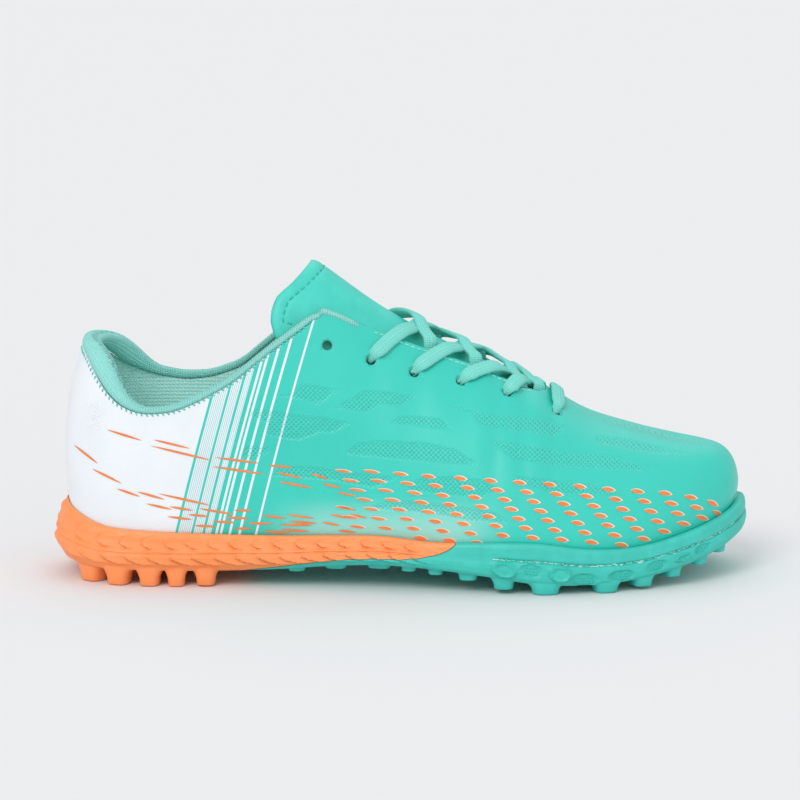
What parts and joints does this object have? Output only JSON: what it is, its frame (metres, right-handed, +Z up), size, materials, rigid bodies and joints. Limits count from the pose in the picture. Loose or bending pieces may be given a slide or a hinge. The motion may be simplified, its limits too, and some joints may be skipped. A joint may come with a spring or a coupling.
{
  "type": "football shoe",
  "caption": "Low laced football shoe for artificial turf: hollow knit-like upper, padded collar, tongue and rubber sole with lugs.",
  "frame": {"origin": "on the ground under the middle of the shoe's box", "axes": "+X to the toe, +Y to the inner side of the right foot, +Z up"},
  "size_m": [0.275, 0.1026, 0.1255],
  "materials": {
    "teal_rubber": "moulded, satin",
    "orange_rubber": "moulded, satin",
    "coated_knit": "coated knit, satin, printed",
    "cuff_knit": "ribbed knit, matt",
    "grained_leather": "grained, satin",
    "lining_foam": "knit over foam, matt",
    "lace_weave": "flat woven, matt"
  },
  "bodies": {
    "root": {"outsole": "teal_rubber", "heel_sole": "orange_rubber", "upper": "coated_knit", "collar": "cuff_knit", "tongue": "grained_leather", "insole": "lining_foam", "lace_bar": "lace_weave", "lace_cross_1": "lace_weave", "lace_cross_2": "lace_weave", "lace_cross_3": "lace_weave", "lace_cross_4": "lace_weave"}
  },
  "joints": []
}
